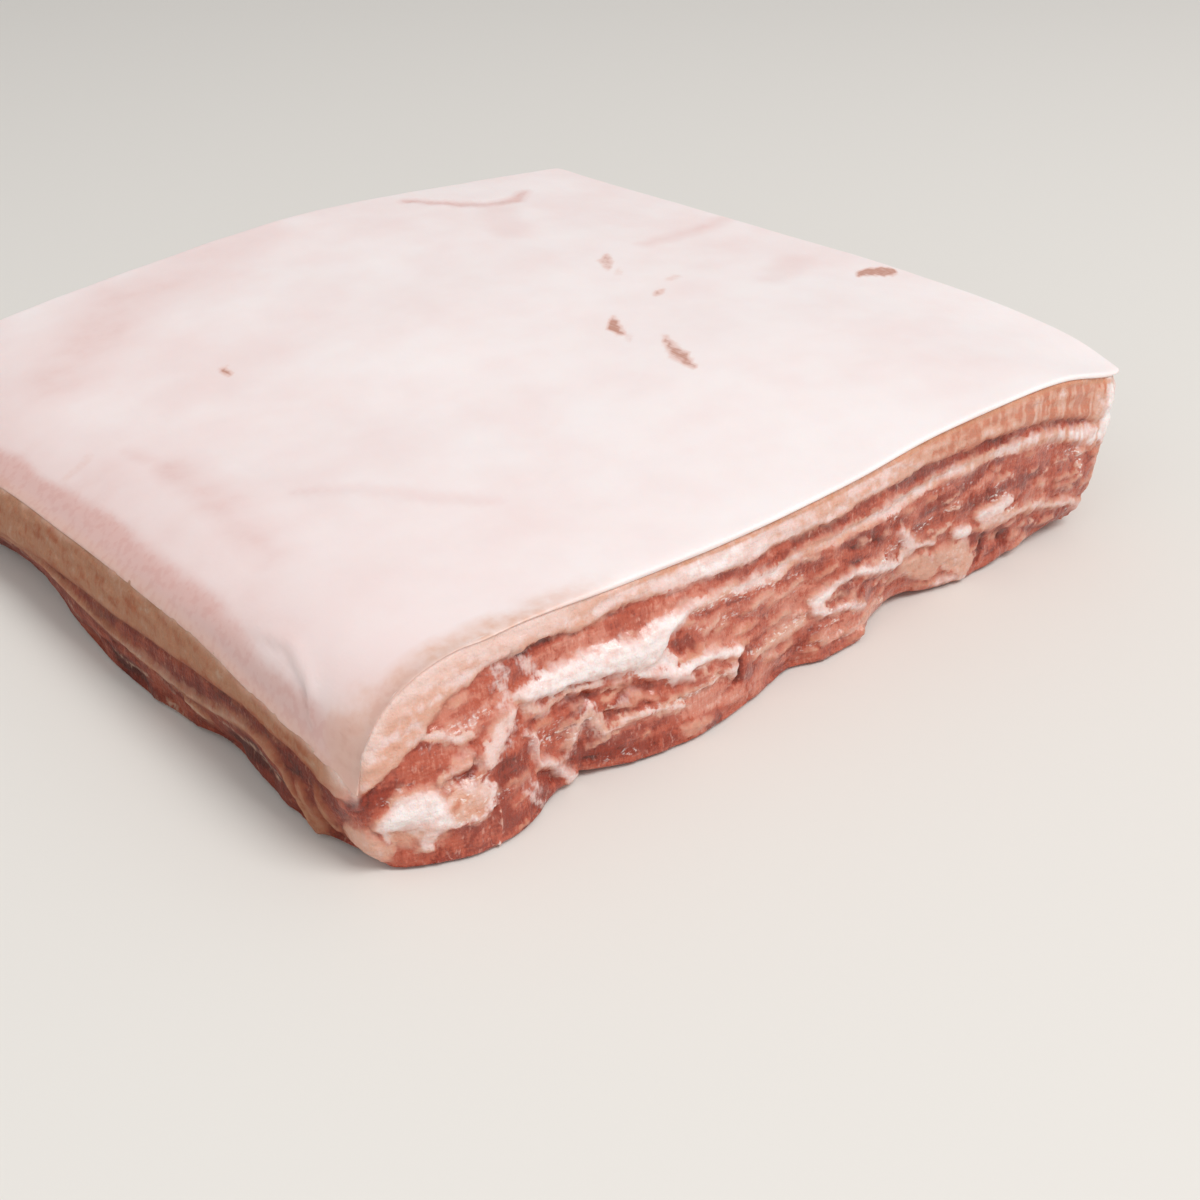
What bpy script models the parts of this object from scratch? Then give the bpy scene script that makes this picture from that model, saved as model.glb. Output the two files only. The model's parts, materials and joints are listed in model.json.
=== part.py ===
"""Raw pork belly slab, skin side up, as one solid.

A cube is cut into a grid and each of its points is moved to its place on the slab: the cut outline of the
skin on top, the foot of the four cut walls below, a crowned skin with a rounded left shoulder, and a flat
underside that lifts at its edges.
X runs along the near cut face, Y runs back from it and Z is up. Sizes are drawn in millimetres from the
near left corner of the slab, and the finished solid is centred on the origin.
"""

import math

import bmesh
import bpy
from mathutils import Vector, noise

MM = 0.001

# Plan of the edge of the skin: its corners, and how far each side bows out between them
SKIN_CORNERS = {
    "near left": (-8.5, 0.6),
    "near right": (229, -1.6),
    "far left": (-16, 242),
    "far right": (235, 243),
}
SKIN_BOW = {"near": 0.6, "far": 9.0, "left": 0.4, "right": 13.0}
BOW_SKEW = {"near": 1.0, "far": 1.3, "left": 1.0, "right": 0.65}  # under 1, the bow is fullest near the start

# Plan of the foot of the walls: its corners, and the lobes of meat that stand out between them,
# each as (centre, half width, reach) along its side; a negative reach is a hollow
FOOT_CORNERS = {
    "near left": (-3, 0.5),
    "near right": (224, 2.5),
    "far left": (-14, 242),
    "far right": (230, 238),
}
FOOT_LOBES = {
    "near": ((19, 22, 9.8), (75, 34, 8.2), (125, 18, 5.2), (150, 13, -1.8), (192, 32, 1.6)),
    "far": ((30, 44, 2.5), (125, 60, 5.0), (200, 26, 2.0)),
    "left": ((25, 24, 3.8), (92, 42, 4.0), (160, 28, -3.2)),
    "right": ((70, 66, 7.0), (180, 58, 4.0)),
}
LOBE_FULLNESS = 0.8  # under 1, the lobes are blunt and the creases between them deep

# Clearance of the foot over the board: at its lowest, and where it is lifted
FOOT_REST = 0.6
FOOT_LIFTS = {
    "near": ((44, 9, 1.8), (150, 15, 3.0), (224, 42, 3.8)),
    "far": ((230, 50, 3.0),),
    "left": ((50, 10, 1.6), (152, 18, 1.4)),
    "right": ((0, 42, 3.8), (240, 50, 3.0)),
}

# Heights of the skin over the board
NEAR_CREST = (
    (-8.5, 44.0), (50, 44.9), (95, 45.0), (110, 45.7), (130, 47.0), (150, 49.6), (170, 50.5), (190, 50.7),
    (205, 50.0), (229, 46.8),
)
FAR_CREST = ((-16, 33.0), (24, 37.5), (93, 44.0), (150, 46.5), (235, 45.0))
CREST_BLEND = 0.7  # share of the depth over which the near crest fades into the far one
LEFT_EDGE = ((0, 17), (12, 22), (60, 23), (150, 17.5), (242, 13))
SHOULDER_RUN = (27, 46)  # how far in the left shoulder reaches, at the near and the far end
SHOULDER_POWER = (2.3, 2.0)  # how full its curve is, at the near and the far end
CORNER_DROOP = 2.0  # how far the near right corner sags
CORNER_REACH = 26
SWELL = 0.5  # slow waves in the skin
SWELL_LENGTH = 60

# Walls
WALL_BELLY = 1.2  # meat swells between the skin and the foot
FOOT_CURVE = (1.3, 4.2)  # how late the walls turn in to their foot: everywhere, and at the right end
HEM = 0.16  # share of the half width over which the underside rises to its lifted edge

# Grid
COLUMNS = 38
ROWS = 32
LEVELS = 8
END_DENSITY = 0.55  # 0 spaces the grid evenly, 1 crowds it at the edges

FLESH = {"colour": (0.62, 0.30, 0.24, 1.0), "roughness": 0.42, "metallic": 0.0}

SIDE_ENDS = {
    "near": ("near left", "near right"),
    "far": ("far left", "far right"),
    "left": ("near left", "far left"),
    "right": ("near right", "far right"),
}
OUTWARDS = {
    "near": Vector((0, -1)),
    "far": Vector((0, 1)),
    "left": Vector((-1, 0)),
    "right": Vector((1, 0)),
}


def clear_scene():
    for obj in list(bpy.data.objects):
        bpy.data.objects.remove(obj)


def mix(a, b, share):
    return a + (b - a) * share


def smooth_step(t):
    t = min(max(t, 0.0), 1.0)
    return t * t * (3 - 2 * t)


def curve(stops, x):
    """The height at x of a smooth curve through (x, height) stops."""
    x = min(max(x, stops[0][0]), stops[-1][0])
    right = next(i for i in range(1, len(stops)) if x <= stops[i][0])
    left = right - 1

    def slope(i):
        before, after = stops[max(i - 1, 0)], stops[min(i + 1, len(stops) - 1)]
        return (after[1] - before[1]) / (after[0] - before[0])

    (x0, h0), (x1, h1) = stops[left], stops[right]
    run = x1 - x0
    t = (x - x0) / run
    return (
        (2 * t**3 - 3 * t**2 + 1) * h0
        + (t**3 - 2 * t**2 + t) * slope(left) * run
        + (3 * t**2 - 2 * t**3) * h1
        + (t**3 - t**2) * slope(right) * run
    )


def lobes(shapes, x, fullness=1.0):
    """The sum at x of rounded lobes, each given as (centre, half width, reach)."""
    total = 0.0
    for centre, half_width, reach in shapes:
        off = abs(x - centre) / half_width
        if off < 1:
            total += reach * math.cos(math.pi / 2 * off) ** fullness
    return total


def crowd_ends(t):
    """Moves evenly spaced places towards both ends."""
    return mix(t, 0.5 - 0.5 * math.cos(math.pi * t), END_DENSITY)


def skin_side(side, share):
    """The point of one side of the skin's plan at a share of its run."""
    start, end = (Vector(SKIN_CORNERS[name]) for name in SIDE_ENDS[side])
    bow = SKIN_BOW[side] * math.sin(math.pi * share ** BOW_SKEW[side])
    return mix(start, end, share) + OUTWARDS[side] * bow


def foot_side(side, share):
    """The point of one side of the foot's plan at a share of its run."""
    start, end = (Vector(FOOT_CORNERS[name]) for name in SIDE_ENDS[side])
    point = mix(start, end, share)
    run = point.x if side in ("near", "far") else point.y
    return point + OUTWARDS[side] * lobes(FOOT_LOBES[side], run, LOBE_FULLNESS)


def plan_point(side_point, across, back):
    """The point of a plan that is filled in between its four sides."""
    near, far = side_point("near", across), side_point("far", across)
    left, right = side_point("left", back), side_point("right", back)
    start = mix(side_point("near", 0), side_point("near", 1), across)
    end = mix(side_point("far", 0), side_point("far", 1), across)
    return mix(near, far, back) + mix(left, right, across) - mix(start, end, back)


def skin_height(point, back):
    """Height of the skin: a crest along X, with a rounded shoulder down to the thin left edge."""
    crest = mix(curve(NEAR_CREST, point.x), curve(FAR_CREST, point.x), smooth_step(back / CREST_BLEND))
    edge = curve(LEFT_EDGE, point.y)
    inset = min(max(point.x - skin_side("left", back).x, 0.0) / mix(*SHOULDER_RUN, back), 1.0)
    power = mix(*SHOULDER_POWER, back)
    shoulder = (1 - (1 - inset) ** power) ** (1 / power)
    swell = SWELL * noise.noise(Vector((point.x, point.y, 0)) / SWELL_LENGTH) * inset
    from_corner = (point - Vector(SKIN_CORNERS["near right"])).length
    droop = CORNER_DROOP * (1 - smooth_step(from_corner / CORNER_REACH))
    return mix(edge, crest, shoulder) + swell - droop


def side_shares(across, back, power=10):
    """How much a point of the plan belongs to each side, so that two sides share a corner."""
    a, b = 2 * across - 1, 2 * back - 1
    weights = {
        "near": max(-b, 0.0) ** power,
        "far": max(b, 0.0) ** power,
        "left": max(-a, 0.0) ** power,
        "right": max(a, 0.0) ** power,
    }
    total = sum(weights.values()) or 1.0
    return {side: weight / total for side, weight in weights.items()}


def foot_height(foot, shares):
    """How far the foot of the nearest wall clears the board."""
    height = FOOT_REST
    for side, share in shares.items():
        run = foot.x if side in ("near", "far") else foot.y
        height += lobes(FOOT_LIFTS[side], run) * share
    return height


def place(across, back, up):
    """Where a point of the unit cube goes on the slab."""
    across, back = crowd_ends(across), crowd_ends(back)
    reach = max(abs(2 * across - 1), abs(2 * back - 1))
    shares = side_shares(across, back)
    top, foot = plan_point(skin_side, across, back), plan_point(foot_side, across, back)
    plan = mix(top, foot, (1 - up) ** mix(*FOOT_CURVE, shares["right"]))
    for side, share in shares.items():
        plan += OUTWARDS[side] * WALL_BELLY * math.sin(math.pi * up) * share * reach**4
    low = foot_height(foot, shares) * smooth_step((reach - 1 + HEM) / HEM)
    return Vector((plan.x, plan.y, mix(low, skin_height(top, back), up))) * MM


def gridded_cube(columns, rows, levels):
    """A unit cube from 0 to 1, cut into a grid."""
    mesh = bmesh.new()
    bmesh.ops.create_cube(mesh, size=1)
    bmesh.ops.translate(mesh, verts=mesh.verts, vec=(0.5, 0.5, 0.5))
    for axis, count in enumerate((columns, rows, levels)):
        runs = [
            edge
            for edge in mesh.edges
            if abs((edge.verts[0].co - edge.verts[1].co)[axis]) > 0.5
        ]
        bmesh.ops.subdivide_edges(mesh, edges=runs, cuts=count - 1, use_grid_fill=True)
    return mesh


def centre_on_board(mesh):
    """Puts the origin under the middle of the slab, on the board."""
    lowest = [min(v.co[i] for v in mesh.verts) for i in range(3)]
    highest = [max(v.co[i] for v in mesh.verts) for i in range(3)]
    middle = Vector(
        ((lowest[0] + highest[0]) / 2, (lowest[1] + highest[1]) / 2, lowest[2])
    )
    print("the near left corner moves to", [round(-side / MM, 3) for side in middle], "mm")
    bmesh.ops.translate(mesh, verts=mesh.verts, vec=-middle)


def flesh_material():
    material = bpy.data.materials.new("flesh")
    material.use_nodes = True
    shader = material.node_tree.nodes["Principled BSDF"]
    shader.inputs["Base Color"].default_value = FLESH["colour"]
    shader.inputs["Roughness"].default_value = FLESH["roughness"]
    shader.inputs["Metallic"].default_value = FLESH["metallic"]
    return material


def make_slab():
    grid = gridded_cube(COLUMNS, ROWS, LEVELS)
    for vertex in grid.verts:
        vertex.co = place(*vertex.co)
    centre_on_board(grid)
    bmesh.ops.recalc_face_normals(grid, faces=grid.faces)
    data = bpy.data.meshes.new("pork_belly_slab")
    grid.to_mesh(data)
    grid.free()
    slab = bpy.data.objects.new("pork_belly_slab", data)
    bpy.context.scene.collection.objects.link(slab)
    data.materials.append(flesh_material())
    data.shade_smooth()
    data.set_sharp_from_angle(angle=math.radians(50))
    return slab


def main():
    clear_scene()
    slab = make_slab()
    print(slab.name, "measures", [round(side, 4) for side in slab.dimensions], "m")


main()
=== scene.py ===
# %% [markdown]
# # A raw pork belly slab
#
# A boned belly of pork, cut square, lies on its inner side with the skin up. It is one piece of meat with
# three looks: a pale leathery rind on top, layers of white fat and red lean that show on the four cut faces,
# and a flat inner side that rests on the counter. The lesson makes the rind first, then the meat, and then
# paints the layers onto the meat.

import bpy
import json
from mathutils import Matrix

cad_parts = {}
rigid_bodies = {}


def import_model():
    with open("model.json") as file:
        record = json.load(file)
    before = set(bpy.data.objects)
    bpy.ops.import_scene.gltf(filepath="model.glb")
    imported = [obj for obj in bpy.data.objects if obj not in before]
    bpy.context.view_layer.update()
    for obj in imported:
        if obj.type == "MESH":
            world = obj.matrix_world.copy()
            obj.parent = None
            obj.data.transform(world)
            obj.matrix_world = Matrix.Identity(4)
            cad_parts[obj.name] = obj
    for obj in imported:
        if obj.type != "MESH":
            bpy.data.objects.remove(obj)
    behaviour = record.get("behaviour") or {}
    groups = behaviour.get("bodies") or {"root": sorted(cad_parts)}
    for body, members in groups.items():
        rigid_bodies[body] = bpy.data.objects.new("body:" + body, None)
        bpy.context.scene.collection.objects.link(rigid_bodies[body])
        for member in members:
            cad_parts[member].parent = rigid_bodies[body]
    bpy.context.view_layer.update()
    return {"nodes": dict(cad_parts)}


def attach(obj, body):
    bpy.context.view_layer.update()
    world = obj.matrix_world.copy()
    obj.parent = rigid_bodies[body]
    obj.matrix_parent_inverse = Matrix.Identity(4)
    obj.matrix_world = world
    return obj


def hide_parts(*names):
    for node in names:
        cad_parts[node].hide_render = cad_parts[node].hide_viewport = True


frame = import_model()
slab = frame["nodes"]["pork_belly_slab"]

# %% Modules, units and the corner that sizes are measured from
import json
import math

import bmesh
import bpy
import numpy as np
from mathutils import Vector, noise
from mathutils.bvhtree import BVHTree

MM = 0.001
DEPTH = 242.0  # mm over the skin, back from the near cut face
CORNER = np.array([-0.1145, -0.1213, 0.0])  # the slab's near left corner, in metres
print("the near left corner is at", CORNER / MM, "mm")

# %% [markdown]
# ## Reading the solid
#
# The plain solid already has the size and the outline of the slab. A ray sent at it tells where its surface
# is, so every new piece can be laid exactly on it. The solid's mesh is loose triangles, so a copy is merged
# first, or a ray could slip through a crack.

# %% A ray finder in millimetres from the corner
def read_solid():
    copy = bmesh.new()
    copy.from_mesh(slab.data)
    for vertex in copy.verts:
        vertex.co = (vertex.co - Vector(CORNER)) / MM
    bmesh.ops.remove_doubles(copy, verts=copy.verts, dist=0.01)
    tree = BVHTree.FromBMesh(copy)
    print("the merged copy has", len(copy.verts), "points")
    copy.free()
    return tree


solid = read_solid()


def hit(start, towards):
    """The point where a ray meets the solid, and the way that the solid faces there."""
    point, normal, _, _ = solid.ray_cast(Vector(start), Vector(towards).normalized())
    return point, normal


def skin_z(x, y):
    """Height of the skin over a point of the plan, or None beside the slab."""
    point, _ = hit((x, y, 80), (0, 0, -1))
    return point.z if point else None


print("the skin is", round(skin_z(110, 120), 1), "mm high in the middle")

# %% [markdown]
# ## Small tools for smooth numbers
#
# Meat has no straight lines, so heights and widths along the slab are given as a few stops, and a smooth
# curve runs through them. Noise with a chosen wavelength and a chosen seed adds the unevenness, and it is
# the same each time the file runs.

# %% Curves, steps and noise
def curve(stops, x):
    """A smooth curve through (place, value) stops, read at all the places in x."""
    places, values = np.array(stops, float).T
    slopes = np.gradient(values, places)
    x = np.clip(x, places[0], places[-1])
    i = np.clip(np.searchsorted(places, x, side="right") - 1, 0, len(places) - 2)
    run = places[i + 1] - places[i]
    t = (x - places[i]) / run
    return (
        (2 * t**3 - 3 * t**2 + 1) * values[i]
        + (t**3 - 2 * t**2 + t) * run * slopes[i]
        + (3 * t**2 - 2 * t**3) * values[i + 1]
        + (t**3 - t**2) * run * slopes[i + 1]
    )


def step(low, high, x):
    """0 below low, 1 above high, and a smooth rise between them."""
    t = np.clip((x - low) / (high - low), 0, 1)
    return t * t * (3 - 2 * t)


def mix(a, b, share):
    return a + (b - a) * share


def rough(points, lengths, seed):
    """Noise from -1 to 1 at points in mm, with its wavelength along X, Y and Z."""
    scaled = np.asarray(points, float) / np.asarray(lengths, float) + seed * np.array([13.7, 5.3, 9.1])
    return np.array([noise.noise(Vector(p)) for p in scaled])


# %% Mesh tools
def deselect_all():
    for obj in bpy.context.view_layer.objects:
        obj.select_set(False)


def edit(obj):
    deselect_all()
    obj.select_set(True)
    bpy.context.view_layer.objects.active = obj
    bpy.ops.object.mode_set(mode="EDIT")


def leave_edit():
    bpy.ops.object.mode_set(mode="OBJECT")


def apply_modifier(obj, kind, **settings):
    bpy.context.view_layer.objects.active = obj
    modifier = obj.modifiers.new(kind.title(), kind)
    for name, value in settings.items():
        setattr(modifier, name, value)
    bpy.ops.object.modifier_apply(modifier=modifier.name)


def points_of(obj):
    """The piece's points in mm from the slab's corner."""
    flat = np.empty(len(obj.data.vertices) * 3, np.float32)
    obj.data.vertices.foreach_get("co", flat)
    return (flat.reshape(-1, 3).astype(float) - CORNER) / MM


def set_points(obj, points):
    flat = (np.asarray(points) * MM + CORNER).astype(np.float32).ravel()
    obj.data.vertices.foreach_set("co", flat)
    obj.data.update()


def normals_of(obj):
    flat = np.empty(len(obj.data.vertices) * 3, np.float32)
    obj.data.vertices.foreach_get("normal", flat)
    return flat.reshape(-1, 3).astype(float)


def give_attribute(obj, name, values):
    layer = obj.data.attributes.new(name, "FLOAT", "POINT")
    layer.data.foreach_set("value", np.asarray(values, np.float32))


# %% [markdown]
# ## The rind
#
# The rind is a sheet of skin about 2 mm thick. It lies over the crown of the slab, rolls down over the thin
# left shoulder, and ends in a clean knife cut on the other three sides, where its edge stands a little proud
# of the softer fat. A grid is laid on the solid like a cloth: its inner columns drop straight down onto the
# skin, and its left columns swing round the shoulder. Solidify then gives it its thickness.

# %% Where the rind ends
RIND = 1.5  # mm thick
PROUD = 0.25  # mm that its cut edge stands out from the fat
LEFT_EDGE = (
    (0, 20.5), (10, 23), (20, 24.4), (30, 25.2), (40, 26), (55, 27.6), (80, 27.6), (110, 27), (135, 25.8),
    (160, 24.5), (200, 21.5), (242, 18.5),
)
SWING = 30  # mm that the shoulder reaches in from the left side


def near_end(x):
    """Where the skin ends at the near cut, read a little in from the left side."""
    x = min(max(x, left_end(6) + 1.5), right_end(6) - 2.5)
    point, _ = hit((x, 25, skin_z(x, 6) - 2.5), (0, -1, 0))
    return point.y


def far_end(x):
    x = min(max(x, left_end(234) + 2.5), right_end(234) - 2.5)
    point, _ = hit((x, 225, skin_z(x, 234) - 2.5), (0, 1, 0))
    return point.y


def left_end(y):
    y = min(max(y, 0.8), 241.0)
    point, _ = hit((30, y, float(curve(LEFT_EDGE, y))), (-1, 0, 0))
    return point.x


def right_end(y):
    belly, _ = hit((200, y, 36), (1, 0, 0))
    point, _ = hit((200, y, skin_z(belly.x - 6, y) - 2), (1, 0, 0))
    return point.x


print("rind, front right corner", round(right_end(4), 1), "back left", round(left_end(238), 1))

# %% How thick the rind is
def rind_depth(x, y):
    """Thickness of the rind in mm: thin at its left edge and where it runs out by the near left corner."""
    from_left = x - left_end(y)
    by_left = mix(0.12, 1.0, float(step(0, 8, from_left)))
    by_corner = mix(0.1, 1.0, float(step(14, 60, x)))
    return RIND * min(by_left, mix(by_corner, 1.0, float(step(1, 9, y))))


print("the rind is", round(rind_depth(0, 0.5), 2), "mm at its corner,", rind_depth(110, 120), "in the middle")

# %% The grid that becomes the rind
SHOULDER_COLUMNS, FLAT_COLUMNS, RIND_ROWS = 10, 28, 36
HOLD = 0.8  # mm from the edge to the first row, which holds the edge crisp


def swing_ray(y, share):
    """The point of the shoulder at a share of the way from the rind's edge up to the flat."""
    edge = float(curve(LEFT_EDGE, y))
    pivot = Vector((left_end(y) + SWING, y, edge - 6))
    start = math.atan2(6, -SWING)
    angle = mix(start, math.pi / 2, share)
    point, _ = hit(pivot, (math.cos(angle), 0, math.sin(angle)))
    return point


def held(index, count, length):
    """Shares of a length with an extra place close to both of its ends."""
    if index == 0 or index == count:
        return index / count
    if index == 1 or index == count - 1:
        return HOLD / length if index == 1 else 1 - HOLD / length
    return (index - 1) / (count - 2)


def rind_point(column, row):
    back = held(row, RIND_ROWS, DEPTH)
    y = mix(0.8, DEPTH, back)
    shoulder_x = left_end(y) + SWING
    flat = right_end(y) - 0.3 - shoulder_x
    if column < SHOULDER_COLUMNS:
        share = 0.02 if column == 1 else max(column - 1, 0) / (SHOULDER_COLUMNS - 1)
        point = swing_ray(y, share)
        x, z = point.x, point.z
    else:
        share = (column - SHOULDER_COLUMNS) / (FLAT_COLUMNS - 1)
        if column == SHOULDER_COLUMNS + FLAT_COLUMNS - 1:
            share = 1 - HOLD / flat
        x = shoulder_x + flat * min(share, 1.0)
        z = None
    near, far = near_end(x), far_end(x)
    y = mix(near + 0.3, far - 0.3, back)
    if z is None:
        z = skin_z(x, y)
    proud = PROUD * float(step(20, 60, x))
    y -= (0.3 + proud) * (row == 0) - (0.3 + PROUD) * (row == RIND_ROWS)
    x += (0.3 + PROUD) * (column == SHOULDER_COLUMNS + FLAT_COLUMNS)
    return (x, y, z)


deselect_all()
columns = SHOULDER_COLUMNS + FLAT_COLUMNS
bpy.ops.mesh.primitive_grid_add(
    x_subdivisions=columns, y_subdivisions=RIND_ROWS, size=1, location=(0, 0, 0)
)
rind = bpy.context.object
rind.name = "rind"
places = [
    rind_point(round((v.co.x + 0.5) * columns), round((v.co.y + 0.5) * RIND_ROWS))
    for v in rind.data.vertices
]
set_points(rind, places)
print("the grid has", len(rind.data.vertices), "points")

# %% Thickness and a smooth surface
thickness = rind.vertex_groups.new(name="thickness")
for index, (x, y, _) in enumerate(places):
    thickness.add([index], rind_depth(x, y) / RIND, "REPLACE")
apply_modifier(
    rind, "SOLIDIFY", thickness=RIND * MM, offset=-1, use_even_offset=True, use_quality_normals=True,
    vertex_group="thickness", thickness_vertex_group=0.0
)
apply_modifier(rind, "SUBSURF", levels=2, render_levels=2)
for polygon in rind.data.polygons:
    polygon.use_smooth = True
print("the rind has", len(rind.data.polygons), "faces")

# %% [markdown]
# ## The meat
#
# Under the rind the slab is one body with four cut faces. A cylinder is the right start for it, because its
# side is one band of faces all the way round, and the layers of fat and lean run round the slab in the same
# way. Its columns stand closest together on the near cut face, which shows most. Rays from the middle of
# the slab put each point on the solid, and Subdivision Surface makes the band fine enough to carve.

# %% Columns round the slab
SIDE_COLUMNS = {"near": 64, "right": 26, "far": 20, "left": 32}
SIDES = tuple(SIDE_COLUMNS)
CORNERS = {
    "near": ((-8.5, 0.6), (229, -1.6)),
    "right": ((229, -1.6), (235, 243)),
    "far": ((235, 243), (-16, 242)),
    "left": ((-16, 242), (-8.5, 0.6)),
}
MIDDLE = np.array([110.0, 121.0])  # of the plan, where the rays cross


def column_targets():
    """Nominal plan points of the columns and their sides, anticlockwise from the near left corner."""
    targets = []
    for side in SIDES:
        start, end = (np.array(c) for c in CORNERS[side])
        count = SIDE_COLUMNS[side]
        for i in range(count):
            share = i / count
            share = mix(share, 0.5 - 0.5 * math.cos(math.pi * share), 0.35)
            targets.append((side, mix(start, end, share)))
    return targets


targets = column_targets()
print(len(targets), "columns")

# %% One column from the rind down to its foot
WALL_ROWS = (0.0, 0.07, 0.19, 0.32, 0.45, 0.58, 0.72, 0.86, 1.0)  # shares of the way down
HIDDEN = 0.75  # share of the rind's thickness that the meat reaches up behind it
OUTWARDS = {"near": (0, -1, 0), "right": (1, 0, 0), "far": (0, 1, 0), "left": (-1, 0, 0)}


def outline_at(direction, z):
    start = MIDDLE + direction[:2] * 260
    point, _ = hit((start[0], start[1], z), (-direction[0], -direction[1], 0))
    return np.array(point)


def rind_edge(side, target, direction):
    """The point where the skin ends above a column, and the way that the skin faces there."""
    if side == "left":
        place = outline_at(direction, float(curve(LEFT_EDGE, target[1])) + 1.6)
        return place - direction * 0.45, np.array([-0.94, 0, 0.33])
    inside, outside = 60.0, 220.0
    for _ in range(24):
        reach = (inside + outside) / 2
        x, y = MIDDLE + direction[:2] * reach
        point, facing = hit((x, y, 80), (0, 0, -1))
        on_skin = point and facing.dot(Vector(OUTWARDS[side])) < 0.6 and point.z > curve(LEFT_EDGE, y) - 0.5
        inside, outside = (reach, outside) if on_skin else (inside, reach)
    x, y = MIDDLE + direction[:2] * (inside - 0.3)
    point, facing = hit((x, y, 80), (0, 0, -1))
    return np.array(point), np.array(facing)


def column_points(side, target):
    direction = np.array([*(target - MIDDLE), 0.0])
    direction /= np.linalg.norm(direction)
    edge, facing = rind_edge(side, target, direction)
    depth = rind_depth(edge[0], edge[1])
    top = edge - facing * depth * HIDDEN - direction * 0.35 * depth
    low = outline_at(direction, 7) - direction * 1.5
    foot, _ = hit((low[0], low[1], -5), (0, 0, 1))
    foot_z = (foot.z if foot else 0.6) + 0.15
    points = [top]
    for share in WALL_ROWS[1:]:
        points.append(outline_at(direction, mix(top[2], foot_z, share)))
    inner = points[-1] - direction * 7
    inner[2] = 0.1
    points.append(inner)
    return points


column_rows = [column_points(*target) for target in targets]
print("a column has", len(column_rows[0]), "points")

# %% The cylinder that becomes the meat
ROWS = len(column_rows[0])
deselect_all()
bpy.ops.mesh.primitive_cylinder_add(
    vertices=len(targets), radius=1, depth=2, end_fill_type="NGON", location=(0, 0, 0)
)
meat = bpy.context.object
meat.name = "meat"
edit(meat)
bpy.ops.mesh.select_mode(type="EDGE")
bpy.ops.mesh.select_all(action="DESELECT")
leave_edit()
for edge in meat.data.edges:
    a, b = (meat.data.vertices[i].co for i in edge.vertices)
    edge.select = abs(a.z - b.z) > 1
bpy.ops.object.mode_set(mode="EDIT")
bpy.ops.mesh.subdivide(number_cuts=ROWS - 2)
leave_edit()
places = []
for vertex in meat.data.vertices:
    turn = math.atan2(vertex.co.y, vertex.co.x) % (2 * math.pi)
    column = round(turn / (2 * math.pi) * len(targets)) % len(targets)
    row = round((1 - vertex.co.z) / 2 * (ROWS - 1))
    places.append(column_rows[column][row])
set_points(meat, places)
print("the cage has", len(meat.data.polygons), "faces")

# %% A crisp top edge, foot and right corner, and the fine band
edit(meat)
bpy.ops.mesh.select_all(action="SELECT")
bpy.ops.mesh.normals_make_consistent(inside=False)
bpy.ops.mesh.select_all(action="DESELECT")
leave_edit()
crease = meat.data.attributes.new("crease_edge", "FLOAT", "EDGE")
corner_rows = column_rows[SIDE_COLUMNS["near"]]
LINES = (
    (1, [rows[0] for rows in column_rows]),  # the cut edge under the rind
    (0.85, [rows[-2] for rows in column_rows]),  # the foot
    (0.6, corner_rows[:-1]),  # the right corner
)
cage = [tuple(np.round(p, 2)) for p in points_of(meat)]
for sharpness, line in LINES:
    line = {tuple(np.round(p, 2)) for p in line}
    for edge in meat.data.edges:
        if cage[edge.vertices[0]] in line and cage[edge.vertices[1]] in line:
            crease.data[edge.index].value = sharpness
apply_modifier(meat, "SUBSURF", levels=3, render_levels=3)
for polygon in meat.data.polygons:
    polygon.use_smooth = True
print("the meat has", len(meat.data.polygons), "faces")

# %% [markdown]
# ## Painting the layers
#
# A cut belly shows long bands that run right round it: the fat under the rind, a thin lean muscle, a band of
# white fat, and the thick lean below. Each band is a pair of curves, its upper and its lower edge, read
# against the distance along the cut faces. That distance is counted as if the four faces were unrolled into
# one strip: it is x on the near face, it is negative on the left face, and it goes on round the right corner.

# %% Distance along the unrolled cut faces
def unrolled(points):
    x, y = points[:, 0], points[:, 1]
    runs = np.stack([x, 229 + (y + 1.6), 474 + (235 - x), -8.5 - (y - 0.6)])
    gaps = np.stack([y - 0.2, mix(229, 235, y / 242) - x, 242.5 - y, x - mix(-8.5, -16, y / 242)])
    weights = np.exp(-(gaps - gaps.min(axis=0)) / 1.8)
    weights[2] *= weights[2] >= weights[3]
    weights[3] *= weights[3] > weights[2]
    return (runs * weights).sum(axis=0) / weights.sum(axis=0)


body = points_of(meat)
body_normals = normals_of(meat)
along = unrolled(body)
height = body[:, 2]
rim = np.array([rows[0] for rows in column_rows])
rim_along = unrolled(rim)
order = np.argsort(rim_along)
under_rind = np.interp(along, rim_along[order], rim[order, 2]) - height
print("the strip runs from", round(along.min()), "to", round(along.max()), "mm")

# %% The long bands
CAP_FOOT = (
    (-250, 10.5), (-190, 13), (-160, 14.5), (-130, 17), (-100, 18.7), (-60, 21), (-40, 21), (-25, 19.5),
    (-16, 17.5), (-11, 17), (-8.5, 18.5), (-5, 22), (0, 25.6), (4, 28), (6.5, 30), (8, 31.5), (12, 34.6),
    (18, 36.6), (23, 38.3), (30, 38.6), (40, 38.7), (45, 37.6), (52, 38.4), (60, 38.8), (68, 38.2),
    (75, 37.6), (85, 37.4), (95, 36.4), (105, 37.8), (118, 37.9), (130, 39.3), (140, 40.3), (150, 41.2),
    (170, 41.2), (190, 40.7), (200, 39), (212, 36.5), (217, 34.5), (221, 33), (229, 34), (245, 36),
    (300, 37), (380, 35.5), (474, 36.5), (560, 38), (616, 36), (685, 29), (710, 20), (725, 10.5),
)
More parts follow.
